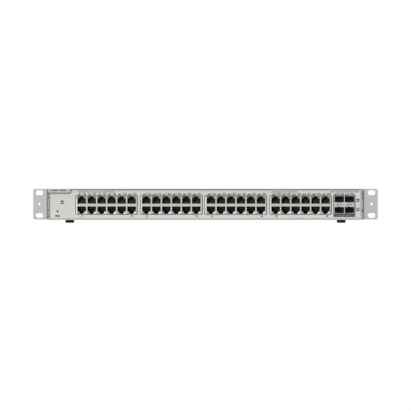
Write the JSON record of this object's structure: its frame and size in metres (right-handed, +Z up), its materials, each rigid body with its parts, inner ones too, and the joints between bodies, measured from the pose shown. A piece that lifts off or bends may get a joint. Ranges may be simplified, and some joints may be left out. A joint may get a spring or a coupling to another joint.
{
  "type": "rackmount network switch",
  "caption": "Flat steel case for a 19 inch rack, one unit high, with gangs of network sockets, module slots, a mains inlet and side fans, that joins wired networks.",
  "frame": {"origin": "centre of the footprint, on the surface that the feet stand on", "axes": "+X to the right as seen from the front, along the 19 inch width; +Y from the ports to the back panel; +Z up"},
  "size_m": [0.4826, 0.2106, 0.0476],
  "materials": {
    "bezel": "fine matt warm light grey moulding",
    "case_paint": "light grey powder coat on 1.2 mm steel sheet",
    "ear_paint": "neutral light grey powder coat on 2 mm steel sheet",
    "nickel_shield": "nickel-plated stamped sheet",
    "black_plastic": "black moulding",
    "rubber": "matt black",
    "light_guide": "smoke-tinted clear moulding, unlit",
    "circuit_board": "green solder mask on glass-epoxy",
    "chip_black": "moulded chip package",
    "aluminium": "clear anodised extrusion",
    "insulator_film": "thin polyester film",
    "transformer": "yellow tape over a ferrite core",
    "capacitor_sleeve": "shrink sleeve",
    "lead_sleeve": "sleeved wire bundle",
    "pin_brass": "nickel-plated brass",
    "fan_plastic": "black glass-filled moulding",
    "screw_steel": "zinc-plated steel",
    "gold_contact": "gold-plated spring contacts",
    "print_ink": "screen-printed marks"
  },
  "bodies": {
    "chassis": {"front_bezel": "bezel", "chassis_base": "case_paint", "top_cover": "case_paint", "rack_ear_left": "ear_paint", "rack_ear_right": "ear_paint", "ear_screw_left_1": "screw_steel", "ear_screw_left_2": "screw_steel", "ear_screw_left_3": "screw_steel", "ear_screw_left_4": "screw_steel", "ear_screw_right_1": "screw_steel", "ear_screw_right_2": "screw_steel", "ear_screw_right_3": "screw_steel", "ear_screw_right_4": "screw_steel", "cover_screw_1": "screw_steel", "cover_screw_2": "screw_steel", "cover_screw_3": "screw_steel", "ground_screw": "screw_steel", "rubber_foot_1": "rubber", "rubber_foot_2": "rubber", "rubber_foot_3": "rubber", "rubber_foot_4": "rubber", "rj45_shield_1": "nickel_shield", "rj45_shield_2": "nickel_shield", "rj45_shield_3": "nickel_shield", "rj45_shield_4": "nickel_shield", "sfp_cage": "nickel_shield", "rj45_housing_1": "black_plastic", "rj45_housing_2": "black_plastic", "rj45_housing_3": "black_plastic", "rj45_housing_4": "black_plastic", "sfp_connector_1": "black_plastic", "sfp_connector_2": "black_plastic", "ac_inlet": "black_plastic", "reset_switch": "black_plastic", "port_light_guide_1": "light_guide", "port_light_guide_2": "light_guide", "port_light_guide_3": "light_guide", "port_light_guide_4": "light_guide", "sfp_light_guide": "light_guide", "status_light_guide": "light_guide", "main_board": "circuit_board", "supply_board": "circuit_board", "switch_chip": "chip_black", "main_heatsink": "aluminium", "port_chip_heatsink_1": "aluminium", "port_chip_heatsink_2": "aluminium", "supply_heatsink": "aluminium", "supply_insulator": "insulator_film", "supply_transformer": "transformer", "supply_capacitor": "capacitor_sleeve", "dc_harness": "lead_sleeve", "mains_leads": "lead_sleeve", "inlet_pin_live": "pin_brass", "inlet_pin_neutral": "pin_brass", "inlet_pin_earth": "pin_brass", "fan_frame_1": "fan_plastic", "fan_frame_2": "fan_plastic"},
    "reset_button": {"reset_button": "black_plastic"},
    "fan_rotor_1": {"fan_rotor_1": "fan_plastic"},
    "fan_rotor_2": {"fan_rotor_2": "fan_plastic"}
  },
  "joints": [
    {"name": "reset_press", "type": "slide", "parent": "chassis", "child": "reset_button", "axis": [0, 1, 0], "range_m": [0, 0.0005], "stiffness_N_per_m": 1200, "springref_m": -0.0005},
    {"name": "fan_1_spin", "type": "hinge", "parent": "chassis", "child": "fan_rotor_1", "pos_m": [-0.2185, -0.008, 0.0258], "axis": [1, 0, 0], "continuous": true},
    {"name": "fan_2_spin", "type": "hinge", "parent": "chassis", "child": "fan_rotor_2", "pos_m": [-0.2185, 0.038, 0.0258], "axis": [1, 0, 0], "continuous": true}
  ]
}
